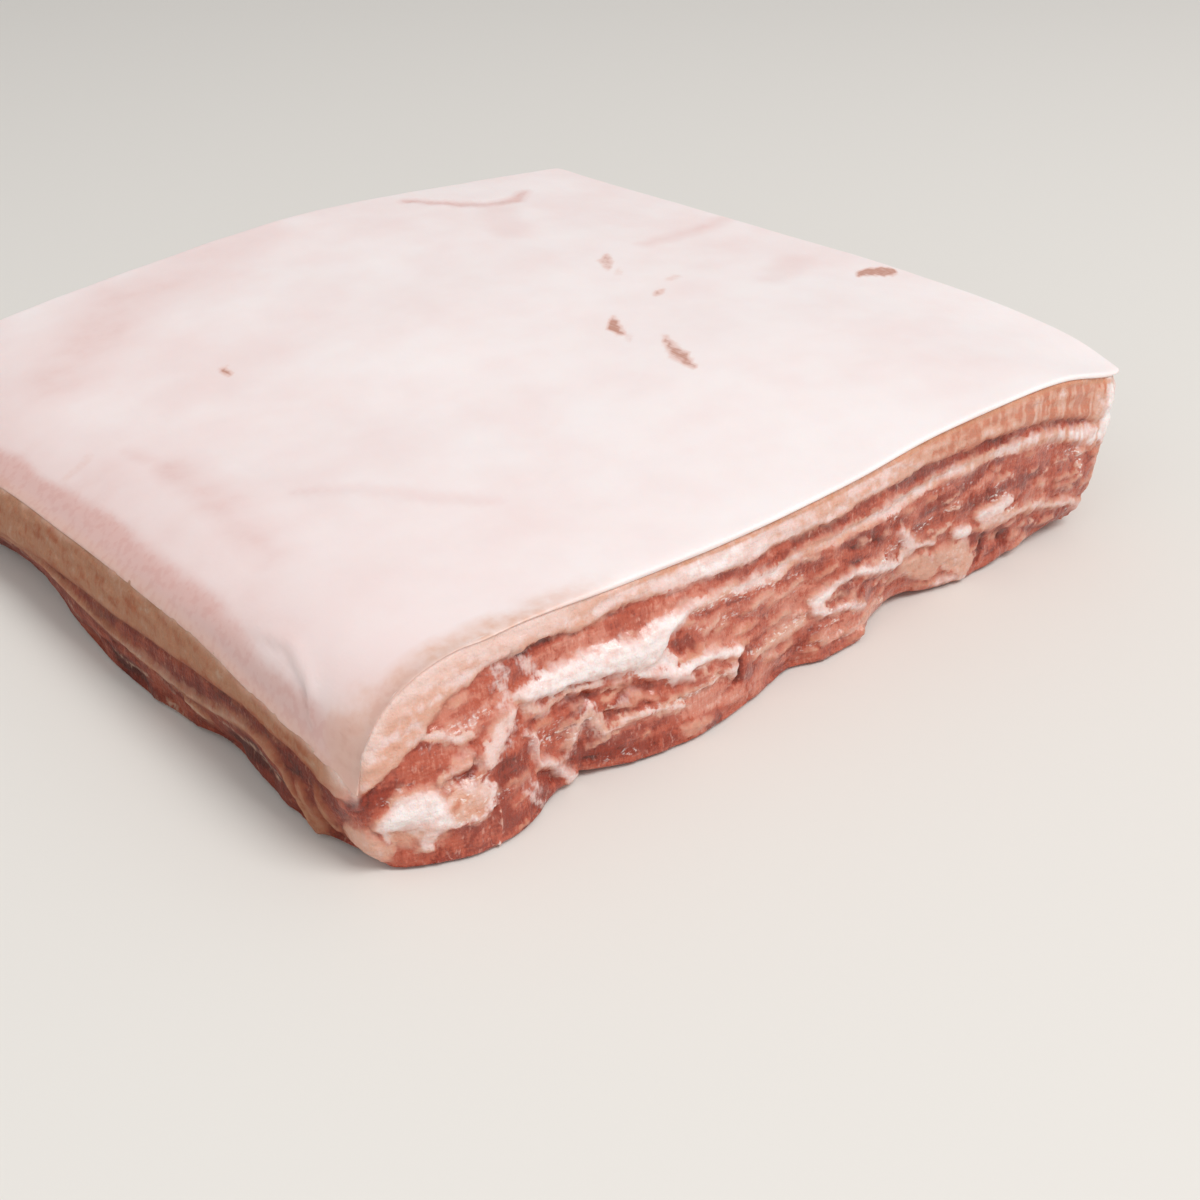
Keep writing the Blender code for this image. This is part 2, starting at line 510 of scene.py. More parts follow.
BAND_TOP = (
    (-250, 8), (-190, 12), (-150, 15.2), (-130, 14.8), (-110, 13.8), (-80, 13.2), (-65, 13.9), (-55, 15.8),
    (-45, 17.3), (-38, 16.6), (-33, 13.6), (-30, 9), (-27, 5), (-22, 1), (-10, 0), (18, 0), (26, 28),
    (28, 30.4), (35, 31.6), (45, 32), (55, 32.3), (60, 32), (65, 33), (75, 33.3), (90, 33), (100, 32.5),
    (108, 33.8), (120, 34.5), (130, 35), (140, 36), (150, 37), (160, 37.5), (190, 37.2), (200, 36.4),
    (210, 34.5), (217, 33), (229, 32), (245, 31), (300, 30.5), (380, 29), (474, 30), (560, 31), (616, 29),
    (685, 22), (710, 14), (725, 8),
)
BAND_FOOT = (
    (-250, 6.4), (-190, 10.2), (-150, 13.4), (-130, 13), (-110, 12), (-80, 11.6), (-65, 12.2), (-55, 13.8),
    (-45, 15.4), (-38, 14.4), (-33, 11), (-30, 6), (-27, 2.5), (-22, 0), (-10, -3), (18, -3), (25, 28),
    (28, 29), (30, 27.3), (35, 26), (45, 25.4), (55, 24.6), (62, 23), (66, 25), (69, 29), (73, 31),
    (80, 31.2), (86, 31.1), (91, 30.2), (97, 29.6), (103, 29.4), (107, 31.2), (115, 32.2), (125, 31.8),
    (135, 32), (150, 33.2), (158, 35), (165, 34.6), (180, 35), (190, 34), (200, 33.4), (210, 30.5),
    (218, 27.6), (229, 26), (245, 26), (300, 27), (380, 25), (474, 27), (560, 27.5), (616, 25.4), (685, 19),
    (710, 12), (725, 6.4),
)
SEAM = ((229, 11), (245, 14), (300, 17), (380, 14), (474, 16), (560, 15), (640, 13), (700, 7), (725, 3))
CAP_TONE = (
    (-250, 0.75), (-60, 0.8), (-20, 0.8), (-8, 0.7), (3, 0.6), (12, 0.5), (24, 0.42), (34, 0.55),
    (45, 0.58), (56, 0.46), (66, 0.34), (90, 0.3), (105, 0.4), (112, 0.54), (135, 0.55), (146, 0.68),
    (154, 0.85), (190, 0.92), (214, 1.02), (221, 0.85), (226, 0.55), (245, 0.4), (300, 0.55), (380, 0.4),
    (474, 0.5), (600, 0.4), (725, 0.8),
)
BAND_TONE = (
    (-250, 0.75), (-150, 0.6), (-45, 0.55), (-30, 0.75), (28, 0.14), (60, 0.08), (75, 0.14), (82, 0.42),
    (90, 0.2), (104, 0.3), (112, 0.45), (130, 0.4), (160, 0.38), (176, 0.55), (190, 0.3), (203, 0.55),
    (214, 0.5), (224, 0.25), (260, 0.3), (474, 0.3), (725, 0.6),
)

strip_s = along + 0.8 * rough(body, 6, 3) + 0.7 * rough(body, 2.6, 4) + 0.35 * rough(body, 1.1, 16)
strip_z = height + 0.6 * rough(body, 7, 1) + 0.55 * rough(body, 2.6, 2) + 0.3 * rough(body, 1.1, 17)
lumps = rough(body, 3.0, 21)
left_side = step(-10, -20, along)
near_side = step(-12, -6, along) * step(232, 226, along)
strip_z += (1 - near_side) * mix(1.6, 0.5, left_side) * rough(body, 24, 6)
strip_z = mix(strip_z, height + 0.8 * rough(body, 16, 22), 0.7 * left_side)
cap = strip_z - curve(CAP_FOOT, along)
band = np.minimum(curve(BAND_TOP, along) - strip_z, strip_z - curve(BAND_FOOT, along))
seam = 1.2 + 1.6 * rough(body, 22, 5) - abs(strip_z - curve(SEAM, along)) - 9 * step(236, 229, along)
fat = np.maximum(np.maximum(cap, band), seam)
tone = np.where(cap > band, curve(CAP_TONE, along), curve(BAND_TONE, along))
tone = np.where(seam >= fat, 0.45, tone)
tone += (0.3 + 0.35 * step(180, 196, along)) * rough(body, (1.3, 1.3, 7), 26) * step(140, 160, along)
tone += 0.3 * rough(body, (6, 6, 2.2), 28)
print("share of the cut faces that is fat:", round(float((fat > 0).mean()), 2))

# %% [markdown]
# ## Local marks
#
# Between the bands the meat is irregular: small muscles, torn skin-like membranes, lumps of fat, pockets and
# folds. Each is laid on like a brush stroke, a line through a few points with a radius at each. It lays fat,
# lean, a veil of thin fat or a patch of painted glints (painted highlights), or it only shades the lean; the
# darker lean in folds, pockets and hollows is painted shade. A stroke has a tone, pale to dark, and a rise,
# which lifts the surface or sinks it. Later strokes cover earlier ones.

# %% A brush for strokes
def stroke(points):
    """The points of the meat near a tapered stroke, and how many mm they are inside it."""
    places = np.array(points if len(points) > 1 else (points[0], points[0]), float)
    near = np.flatnonzero((along > places[:, 0].min() - 12) & (along < places[:, 0].max() + 12))
    s, z = strip_s[near], strip_z[near]
    inside = np.full(len(near), -99.0)
    for (s0, z0, r0), (s1, z1, r1) in zip(places, places[1:]):
        ds, dz = s1 - s0, z1 - z0
        length = max(ds * ds + dz * dz, 1e-6)
        t = np.clip(((s - s0) * ds + (z - z0) * dz) / length, 0, 1)
        inside = np.maximum(inside, r0 + (r1 - r0) * t - np.hypot(s - s0 - t * ds, z - z0 - t * dz))
    return near, inside


darkness = 0.62 + 0.42 * rough(body, (20, 20, 9), 7) + 0.36 * rough(body, (10, 10, 3.2), 8)
darkness += 0.22 * rough(body, (5, 5, 1.6), 23)
# the lean of the left face is made darker: painted shade
darkness += 0.4 * step(-10, -20, along) + 0.22 * near_side * step(68, 40, along) * step(30, 24, height)
grain = 0.3 * rough(body, 4, 9) + 0.2 * rough(body, 2, 24)
relief = np.zeros(len(body))
veil = np.zeros(len(body))
painted_glints = np.zeros(len(body))
RISE = 0.55  # the share of a stroke's rise that is carved


def lay(marks):
    """Lays strokes of (kind, shade, rise, points); a shade or a shaded fold only darkens the lean, and in a
    fold the darkening is painted shade.
    """
    for kind, shade, rise, points in marks:
        near, inside = stroke(points)
        radius = max(r for _, _, r in points)
        inside = inside + 0.5 * min(radius / 1.5, 1) * lumps[near]
        cover = step(-0.4, 0.4, inside)
        soft_cover = step(-0.9, 0.5 * radius + 0.3, inside)
        relief[near] += RISE * rise * step(-0.9, max(0.9 * radius, 0.8), inside + 0.5 * lumps[near])
        if kind == "fat":
            fat[near] = np.maximum(fat[near], inside)
            tone[near] = mix(tone[near], shade, soft_cover)
        elif kind == "vein":
            tone[near] = np.where(inside > fat[near], shade, tone[near])
            fat[near] = np.maximum(fat[near], inside)
        elif kind == "lean":
            fat[near] = np.minimum(fat[near], -inside)
            darkness[near] = mix(darkness[near], shade + grain[near], cover)
        elif kind == "veil":
            veil[near] = np.maximum(veil[near], shade * step(-1.5, 1.2 * radius, inside))
        elif kind == "painted_glints":
            painted_glints[near] = np.maximum(painted_glints[near], shade * step(-0.8, 0.8 * radius, inside))
        else:
            darkness[near] += shade * step(-1.0, 0.8, inside)
    print(len(marks), "marks laid on")


# %% Marks by the near left corner
lay((
    # shading of the lean: each is added to what is there
    ("shade", 0.45, 0, ((24, 16, 2.6), (28, 15.5, 2.2), (30, 18, 1.4))),
    ("shade", 0.25, 0, ((22, 6, 2.4), (30, 4.5, 2.4))),
    ("shade", -0.6, 0, ((33, 34, 1.6), (42, 35, 2.2), (50, 34, 2.4))),
    # the sunk line under the cap, darkened with painted shade
    ("shade", 1, -0.6, ((29, 38.5, 0.5), (34, 38.1, 1), (40, 38.2, 0.9), (45, 37.2, 0.5))),
    ("shade", 0.3, 0, ((44, 8, 2), (50, 6, 2.6), (58, 6.5, 3), (68, 5.5, 3))),
    # the small muscle in the cap, and its whitish neighbours
    ("fat", 0.3, 0.3, ((6.5, 30, 1.2), (10, 28.6, 1.7), (14, 27, 1.7), (16.5, 26, 1))),
    ("lean", 0.42, -0.5, ((8, 31.2, 0.9), (12, 32.6, 2), (17, 33.6, 2.3), (22, 35.6, 1.9))),
    ("fat", 0.72, 0.1, ((13, 33.4, 0.4), (16.5, 33.9, 0.6))),
    ("lean", 0.12, -0.2, ((12, 29.4, 1), (18, 29, 2.2), (25, 30, 2.4))),
    ("veil", 0.9, 0.2, ((24.6, 39, 2.6), (25.6, 35, 3), (25.2, 29, 2.6))),
    ("veil", 1, 0.1, ((30.6, 37.6, 1.3), (32, 35, 1.6), (33.6, 32, 1.6))),
    ("veil", 0.6, 0, ((6, 27, 1), (14, 28, 1.6), (20, 30, 1.6))),
    # the lean wedge over the lump
    ("lean", 0.55, 0.5, ((-12, 15, 3.2), (-6, 17.6, 3.4), (-1, 21, 3.4), (4, 23.6, 4), (10, 22.8, 2.8),
        (17, 22, 1.4))),
    ("shade", 0.45, 0, ((-10, 16, 2.6), (-5, 17.5, 2.2), (-1, 20.5, 1.6))),
    # the peach corner and the white lump
    ("fat", 0.68, 0.8, ((-13, 8, 2.6), (-8, 7.5, 4), (-5.5, 6, 3.4))),
    ("fat", 0.08, 2.3, ((-2.4, 13, 3), (1, 14.8, 4.3), (5, 14.8, 4.3), (7.2, 12.4, 3.6))),
    ("fat", 0.25, 0.9, ((5, 9.5, 2.2), (3.6, 5.5, 1.7))),
    ("fat", 0.4, 0.3, ((1.5, 9.5, 2), (5, 8.8, 2.4))),
    ("fat", 0.8, -0.4, ((-2.4, 10.8, 1), (-0.8, 9, 1.6), (0.8, 7.6, 1.3))),
    ("fat", 0.2, 0.3, ((-3.6, 12.5, 0.5), (-3.4, 9.5, 0.5), (-2.6, 8, 0.4))),
    # the marbled mass beside it, with its pale rim
    ("fat", 0.58, 1.2, ((10, 14, 2.6), (14, 14, 3.2), (17, 12.6, 2.7), (14, 10.6, 2.4), (10.6, 11.6, 2))),
    ("fat", 1, -0.3, ((10.4, 13.2, 0.9), (12.6, 14.6, 0.7))),
    ("fat", 0.95, -0.3, ((13, 11.6, 0.7), (16, 9.9, 0.7))),
    ("fat", 0.12, 0.6, ((17.4, 16, 0.7), (19, 13.5, 0.8), (18.5, 10.6, 0.8), (16, 8.8, 0.6),
        (12, 8.9, 0.5), (9.5, 9.1, 0.6))),
    ("fat", 0.3, 0.3, ((9.5, 17.6, 0.5), (13, 17.2, 0.6), (16.5, 16.6, 0.6))),
    ("fat", 0.45, 0.9, ((8, 19.9, 0.5), (11.5, 20.8, 0.9), (14.8, 21.2, 1.2))),
    # the cleft under the tag: sunk lean, darkened with painted shade
    ("lean", 1.35, -1.4, ((7.5, 19, 0.3), (12, 18.1, 0.5), (14.5, 18.7, 0.5), (16, 20.8, 0.5))),
    # the branch of fat that leaves the white band
    ("veil", 0.9, 0.3, ((28, 26, 2), (24, 23, 4.2), (19, 19, 3.2), (16, 22, 1.6))),
    ("fat", 0.4, 0.6, ((28.4, 28, 0.9), (26.5, 26, 1.6), (23, 24.4, 2.2), (20.4, 22, 1.8),
        (18.8, 19.4, 1.2))),
    ("veil", 0.9, 0.5, ((27, 9.5, 0.5), (30.4, 5, 0.8), (33, 1.2, 0.6))),
    ("veil", 0.7, 0.3, ((29.6, 10.5, 0.4), (32.6, 5.6, 0.5))),
    ("lean", 0.45, -0.7, ((27.6, 28.8, 0.3), (29.8, 25.4, 0.6), (31.2, 22.6, 0.4))),
    ("fat", 0.45, 0.5, ((29.4, 28.4, 0.8), (31.8, 25, 1.1), (34, 23.2, 1), (39, 23.6, 0.9),
        (45, 24, 0.9), (50, 24.2, 0.8))),
    # the fine membrane that hangs in a V, and the hollow behind it, sunk and darkened with painted shade
    ("lean", 1.35, -2, ((33.4, 9.2, 0.8), (36, 6.8, 1.5), (38.4, 4.4, 1.2))),
    ("fat", 0.2, 1.2, ((29.6, 21, 0.35), (31, 19, 0.4), (32, 16, 0.45), (33, 13, 0.5), (35, 10.6, 0.7),
        (38, 8.2, 0.9), (40.5, 4.5, 1.1), (43, 1.5, 1.2))),
))

# %% Marks in the middle of the near face
lay((
    ("shade", -0.3, 0, ((80, 24, 4.5), (88, 22, 5.5), (97, 21, 6), (106, 18.5, 4.5))),
    ("shade", 0.35, 0, ((110, 29.5, 2.2), (114, 27.5, 3.6), (119, 25.5, 2.4))),
    # darker lean along the line under the cap: painted shade
    ("shade", 0.4, 0, ((84, 36, 0.9), (92, 35.4, 1.2), (98, 35.8, 0.9))),
    ("shade", 0.5, 0, ((108, 37, 1), (116, 36.6, 1.3), (124, 36.8, 0.8))),
    ("shade", -0.6, 0, ((72, 8.5, 2), (78, 9, 2.6), (84, 8, 2.8), (88, 6, 2.5))),
    ("shade", -0.3, 0, ((92, 5, 2.5), (100, 6, 3.5), (108, 7, 3))),
    ("shade", 0.6, 0, ((78, 2, 1), (82, 2.4, 0.9))),
    ("shade", 0.2, 0, ((114.6, 10, 1.2), (115.4, 6, 1.6))),
    ("shade", -0.75, 0, ((120, 8, 2.6), (126, 8, 3.2), (133, 7, 3.4), (140, 5, 3))),
    # the lean pocket under the white band, sunk and darkened with painted shade, and the inverted V of fat in
    # it
    ("lean", 0.85, -1.6, ((38, 21.8, 0.7), (44, 22.2, 1.1), (50, 21.2, 1.3), (56, 19.4, 1.5),
        (62, 17.4, 1.5))),
    ("lean", 0.95, -1.2, ((51, 14.8, 0.8), (56, 14.2, 1), (62, 14.2, 0.8))),
    ("veil", 0.85, 0.2, ((41, 7, 1.4), (42.4, 11, 2.4), (45, 15.4, 3), (47.4, 19, 1.6))),
    ("veil", 0.85, 0.2, ((47, 17, 2.2), (49, 13, 2.4), (51, 10, 1.6))),
    ("fat", 0.35, 0.8, ((41.8, 10.6, 0.6), (43, 14, 1.1), (45.4, 17.2, 1.2), (47.2, 19.4, 0.6))),
    ("fat", 0.4, 0.6, ((47.4, 17.6, 0.9), (48.8, 14, 1), (50.4, 11.6, 0.9))),
    ("fat", 0.5, 0.5, ((52.6, 17.4, 0.4), (54.5, 16.4, 0.5), (56.6, 15.4, 0.4))),
    ("fat", 0.6, 0.4, ((57.6, 18, 0.3), (59.6, 16.8, 0.4))),
    ("fat", 0.35, 0.9, ((51.4, 11.2, 0.8), (55, 12.6, 0.9), (60, 12.4, 1), (64, 12, 0.9),
        (68, 11.4, 0.9), (71, 10.8, 0.8))),
    ("fat", 0.6, 0.5, ((65, 12.4, 0.5), (70, 14, 0.6), (76, 13.6, 0.6), (80, 14.2, 0.5))),
    # the white band swells and breaks up
    ("fat", 0.07, 0.8, ((57, 28, 3.8), (63, 28, 4.4), (68, 30.4, 2.4), (73, 31.9, 1.3))),
    ("fat", 0.16, 0.4, ((60, 24, 1.8), (64, 23.6, 2.4), (67, 22.6, 1.8), (68.6, 20.6, 1.3))),
    ("lean", 0.5, -0.5, ((54, 23.9, 0.25), (58, 23.2, 0.35), (61, 22.6, 0.25))),
    ("lean", 0.95, -0.8, ((69.5, 24.9, 1.3), (72.5, 24, 2.1))),
    ("lean", 0.4, 0.2, ((72, 28.4, 1), (76, 26.5, 2.4))),
    # the torn flap
    ("lean", 0.55, 0.8, ((67, 15.6, 1.6), (72, 15.8, 2), (80, 16.2, 2.2), (86, 15.2, 1.6))),
    ("fat", 0.04, 2, ((54, 24.7, 0.3), (60, 22.2, 0.6), (65, 20.6, 0.8), (69, 19.2, 1.4),
        (72, 19.5, 1.5), (76, 20, 1.3), (80, 19.4, 1.2), (84, 18.2, 1.1), (87, 17.2, 1.3),
        (88.6, 16.6, 1.1))),
    ("fat", 0.15, 0.6, ((68, 18.4, 1.1), (71, 17.6, 0.9), (73, 16.9, 0.5))),
    ("fat", 0.3, 0.3, ((75.5, 18.4, 0.5), (77, 17.2, 0.4))),
    ("fat", 0.3, 1.4, ((74, 13.1, 0.4), (78, 13.4, 0.6), (82, 13.2, 0.6), (85, 13.5, 0.9),
        (87, 13.4, 1), (85.8, 12.2, 0.8))),
    # the shadow under the flap's tip and the dark line beside it: painted shade in sunk lean
    ("lean", 1.5, -2.6, ((90.2, 15.4, 0.4), (89.4, 13, 1.1), (88.4, 10.6, 1.4), (88.8, 8.8, 0.9))),
    ("lean", 0.95, -0.7, ((91, 16.5, 0.35), (95, 16.2, 0.5), (99.5, 15.6, 0.35))),
    ("fat", 0.62, 0.2, ((95, 12.6, 1), (101, 12.1, 1.5), (107, 12.8, 1.5), (111, 14.2, 1.1))),
))

# %% Marks towards the right end of the near face
lay((
    ("shade", 0.45, 0, ((123, 30.5, 1.2), (130, 28.8, 2), (138, 28, 2.4), (146, 26.8, 1.8))),
    # darker lean along the line under the cap: painted shade
    ("shade", 0.55, 0, ((140, 39.4, 1), (155, 39.6, 1.5), (175, 39.4, 1.5), (195, 38.6, 1.3),
        (208, 36.6, 1), (217, 33.8, 0.8))),
    ("shade", 0.55, 0, ((154, 27.5, 1.6), (163, 29.3, 2.2), (172, 31.5, 2.2), (182, 34, 1.4))),
    ("shade", 0.5, 0, ((166, 24.8, 1.1), (180, 25.4, 1.3), (200, 25.2, 1))),
    ("shade", -0.5, 0, ((153, 24.8, 0.8), (163, 26.6, 0.9), (173, 29, 0.8), (182, 31.2, 0.8))),
    ("shade", -0.3, 0, ((192, 20, 3), (202, 19, 3.4))),
    ("shade", 0.2, 0, ((206, 20, 3), (216, 17, 3))),
    ("lean", 1.05, 0.4, ((200.5, 7.5, 2.4), (206, 7, 2.6), (213, 6, 2.4))),
    # the seam splits round a wedge of lean
    ("lean", 0.85, -0.7, ((118.5, 16.1, 0.9), (123, 16.6, 1.5), (130, 16.4, 1.9), (137, 14.6, 1.8),
        (143, 12.5, 2), (148, 9.5, 2.4))),
    ("fat", 0.1, 0.9, ((113.3, 18.3, 1.2), (116, 18.3, 2.4), (119, 20.3, 1.5), (123, 21.2, 1.2),
        (126.5, 22, 1.2))),
    ("fat", 0.1, 0.9, ((115, 16, 1.3), (117, 15, 1), (120, 14.2, 0.8), (124, 13.4, 1.1),
        (128, 12.8, 1.1), (132, 11.4, 0.8))),
    ("fat", 0.15, 1, ((125, 22.2, 0.9), (129, 21.8, 1.4), (134, 20.2, 1.6), (139, 18.3, 1.8),
        (144, 16.6, 1.7), (148, 15.6, 1.2))),
    ("fat", 0.45, 0.4, ((149, 17.5, 2), (153, 16.6, 1.7))),
    ("fat", 0.25, 0.9, ((145.5, 25.8, 0.8), (147.5, 24, 1.2), (149.5, 21.5, 1.3), (152, 19, 1.5),
        (156, 17.6, 1.2), (160, 17, 0.9))),
    ("lean", 0.3, -0.5, ((131, 23.6, 0.6), (138, 22.4, 0.8), (145, 21.4, 0.8))),
    # pale meat at the foot, and lumps of fat
    ("fat", 0.78, 0.3, ((151, 13.5, 1.4), (156, 11, 3.2), (161, 8.5, 3.4))),
    ("fat", 0.66, 0.4, ((164, 12.6, 2.4), (170, 9.6, 4.4), (174, 6, 3.4))),
    ("fat", 0.4, 0.4, ((157.6, 14.6, 0.4), (161, 12, 0.5), (162, 10, 0.4))),
    ("fat", 0.3, 0.8, ((165, 2.8, 0.9), (170, 3, 1.3), (175, 2, 0.9))),
    ("fat", 0.06, 1, ((168.4, 17.4, 1.8), (171.8, 16.2, 2))),
    ("fat", 0.22, 0.8, ((177.5, 19.8, 2.6), (182, 19.6, 2.7), (186, 20.6, 2.2))),
    ("fat", 0.5, 0.4, ((179, 16.5, 2), (184, 16.3, 2), (189, 15.6, 1.6))),
    ("fat", 0.42, 0.5, ((190, 16.2, 1.1), (197, 15.4, 1.1), (204, 13.4, 1.3), (210, 11.6, 1.2),
        (217, 10.6, 1.1), (222, 8.2, 1), (228, 7.6, 0.9))),
    # the hollow, sunk and darkened with painted shade
    ("lean", 0.7, -1.6, ((181, 9.5, 2.6), (186, 9, 3.2), (190, 7.6, 2.6))),
    ("lean", 1.5, -1.2, ((179.8, 12, 1.2), (180.4, 8.5, 1.8), (179.4, 5, 1.2))),
    ("lean", 1.4, -1.4, ((187.4, 11.4, 1.4), (189.6, 8.6, 2.3), (190.6, 6.2, 1.7))),
    # the right corner
    ("fat", 0.65, 0, ((220, 41, 1.8), (220.6, 37, 2), (221, 33, 1.6))),
    ("fat", 0.1, 0.2, ((226.6, 47, 3.6), (226.6, 40, 3.6), (226.6, 34, 3.8), (227.2, 29, 4))),
    ("fat", 0.75, 0.1, ((228.6, 25, 2.2), (228.4, 16, 2.2), (227, 9, 1.8))),
    ("fat", 0.4, 0.3, ((215, 26, 0.5), (217.5, 25.4, 0.6))),
    ("fat", 0.4, 0.3, ((216, 22, 0.5), (217.4, 21, 0.5))),
    ("fat", 0.5, 0.3, ((216.6, 18.6, 0.5), (218, 18, 0.5))),
))

# %% [markdown]
# The finest veins and folds are many and have no place of their own. They come from a random generator with
# a fixed seed. The other faces are cut through the same muscles, so they get their seams, lumps and pockets
# from it too, in the sizes that the near face has.

# %% Fine veins, and marks on the other faces
chance = np.random.default_rng(5)


def scatter(kind, count, run, rise, radius, shades, stride=(1.2, 3.0), slope=0.25):
    """Strokes of one kind at random places of a run of the strip, given as (start, end, lowest, highest)."""
    marks = []
    for _ in range(count):
        s, z = chance.uniform(run[0], run[1]), chance.uniform(run[2], run[3])
        lean_over = chance.uniform(-slope, slope)
        size = chance.uniform(*radius)
        points = []
        for _ in range(chance.integers(2, 5)):
            points.append((s, max(z, 0.8), size * chance.uniform(0.5, 1.0)))
            pace = chance.uniform(*stride)
            s += pace
            z += pace * (lean_over + chance.uniform(-0.3, 0.3))
        marks.append((kind, chance.uniform(*shades), rise * chance.uniform(0.4, 1.0), points))
    return marks


# patches on the near face where small white glints are painted into the colour: painted highlights
lay((
    ("painted_glints", 1, 0, ((138, 20.6, 0.8), (143, 21.4, 1.1), (148, 22.4, 0.8))),
    ("painted_glints", 1, 0, ((153, 22.2, 0.6), (158, 24, 0.8))),
    ("painted_glints", 1, 0, ((163, 25, 0.6), (166, 26, 0.7))),
    ("painted_glints", 0.8, 0, ((215, 26, 0.6), (217, 22, 0.8), (217.6, 18, 0.6))),
    ("painted_glints", 0.6, 0, ((30, 19, 1.4), (36, 16, 2.2), (44, 13, 1.6))),
    ("painted_glints", 0.7, 0, ((76, 30.6, 0.8), (84, 30.8, 1.2), (94, 29.4, 1.2), (102, 28.4, 0.9))),
    ("painted_glints", 0.6, 0, ((66, 11.8, 0.5), (72, 12.6, 0.8), (80, 13.8, 0.6))),
    ("painted_glints", 0.6, 0, ((92, 14, 0.8), (104, 13.4, 1.2), (112, 15.4, 0.9))),
    ("painted_glints", 0.8, 0, ((118, 14.8, 0.6), (124, 13.8, 0.8), (130, 12.6, 0.6))),
    ("painted_glints", 0.6, 0, ((10, 29, 0.8), (15, 28.4, 1.2), (21, 29.6, 0.9))),
    ("painted_glints", 0.4, 0, ((10, 12, 0.8), (16, 9.4, 0.8), (19, 12, 0.6))),
    ("painted_glints", 0.5, 0, ((8, 17.4, 0.5), (14, 17.6, 0.7), (18, 17, 0.5))),
))
lay(scatter("painted_glints", 46, (-4, 226, 3, 33), 0, (0.4, 1), (0.3, 0.9), (1, 2.6), 0.3))
lay(scatter("vein", 130, (14, 228, 2, 32), 0.3, (0.25, 0.6), (0.35, 0.85)))
# small folds, sunk and darkened with painted shade
lay(scatter("shaded_fold", 60, (20, 225, 3, 30), -0.7, (0.25, 0.5), (0.3, 0.8)))
for start, end, top in ((232, 468, 26), (476, 700, 24)):
    lay(scatter("shade", 34, (start, end, 3, top), 0, (1.2, 3), (-0.5, 0.5), (3, 8)))
    lay(scatter("lean", 14, (start, end, 3, top), -1.4, (1, 2.6), (0.6, 1.2), (2, 6)))
    lay(scatter("fat", 16, (start, end, 3, top), 0.9, (0.7, 2.2), (0.1, 0.6), (3, 9)))
    lay(scatter("fat", 22, (start, end, 2, top), 0.6, (0.5, 1.1), (0.2, 0.7), (3, 9)))
    lay(scatter("vein", 110, (start, end, 2, top), 0.3, (0.25, 0.6), (0.35, 0.85)))
    # small folds, sunk and darkened with painted shade
    lay(scatter("shaded_fold", 50, (start, end, 2, top), -0.7, (0.25, 0.5), (0.3, 0.8)))
# the left face, which has dried and is darkened with painted shade
lay(scatter("shade", 30, (-240, -30, 2, 18), 0, (1, 2.4), (-0.35, 0.5), (3, 8), 0.1))
lay(scatter("veil", 14, (-240, -30, 1, 11), 0.2, (0.6, 1.4), (0.4, 0.8), (3, 8), 0.1))
# small folds in the left face, sunk and darkened with painted shade
lay(scatter("shaded_fold", 16, (-240, -30, 1, 12), -0.9, (0.3, 0.6), (0.4, 0.9), (3, 7), 0.12))
lay((
    ("fat", 0.8, 0.3, ((-28.5, 12, 1), (-27, 8, 1.4), (-25, 4, 1.6))),
    ("fat", 0.85, 0.2, ((-22.5, 14, 0.8), (-21.5, 10, 1.2), (-20, 6, 1.5))),
    ("shade", 0.3, 0, ((-17, 15, 2), (-14, 12, 2))),
    ("fat", 0.35, 0.4, ((-74, 9.6, 0.8), (-71, 8.6, 1.2), (-69, 7.8, 0.8))),
    # hollows in the left face, sunk and darkened with painted shade
    ("shade", 0.5, -1.2, ((-56, 8, 2.4), (-46, 9, 4), (-37, 8, 3))),
    ("shade", 0.5, -0.8, ((-108, 4, 2.4), (-98, 5, 2.4))),
))

# %% Relief of the bands, and the finer unevenness, with painted shade in the sunk line under the cap and in the creases
RIDGE = ((-250, 0.5), (-20, 0.5), (26, 0.4), (34, 1.3), (66, 1.4), (78, 0.5), (229, 0.5), (725, 0.6))
relief += curve(RIDGE, along) * step(-0.5, 2.0, band)
relief += 0.35 * step(-0.5, 1.6, cap)
relief -= 0.5 * step(0.2, -1.0, fat)
# a sunk line under the cap, darkened with painted shade
darkness += 0.35 * step(1.0, 0.0, abs(cap + 0.6))
relief -= 0.35 * step(1.1, 0.0, abs(cap + 0.6))
relief += (0.7 * rough(body, 13, 11) + 0.32 * rough(body, (9, 9, 3.4), 12)) * mix(1, 0.6, left_side)
relief += left_side * 1.3 * rough(body, (7, 7, 9), 30) * step(12, 4, height)
relief += 0.9 * step(200, 222, along) * step(242, 230, along) * step(27, 12, height)
relief += 0.2 * rough(body, (1.5, 1.5, 5.5), 13) * step(0.5, -0.5, fat)
relief += (0.2 * rough(body, 2.3, 14) + 0.35 * rough(body, (5, 5, 1.7), 27)) * step(-0.3, 0.8, fat)
# thin creases, sunk and darkened with painted shade
creases = abs(rough(body, (11, 11, 4.5), 15))
relief -= 0.35 * step(0.09, 0.0, creases) * step(0.6, -0.2, fat) * (1 - left_side)
darkness += 0.3 * step(0.09, 0.0, creases)
relief += (0.9 * rough(body, 9, 18) + 0.5 * rough(body, 3.6, 19)) * step(8, 2, height)
relief *= step(-0.1, 1.2, under_rind)
print("relief from", round(relief.min(), 1), "to", round(relief.max(), 1), "mm")

# %% Carve the meat and keep the paint as attributes
on_wall = step(0.9, 0.5, abs(body_normals[:, 2]))
carved = body + body_normals * (relief * on_wall)[:, None]
carved[:, 2] = np.maximum(carved[:, 2], 0.05)
set_points(meat, carved)
scorch = step(0.95, 0.35, abs(under_rind - RIND * 0.25 - 0.8)) * step(45, 62, along)
melt = step(6.5, 0.3, under_rind + 2.6 * rough(body, 4, 25)) * step(66, 30, along)
melt *= mix(1.0, 0.85 * step(3.5, 0.2, under_rind + rough(body, 5, 29)), left_side)
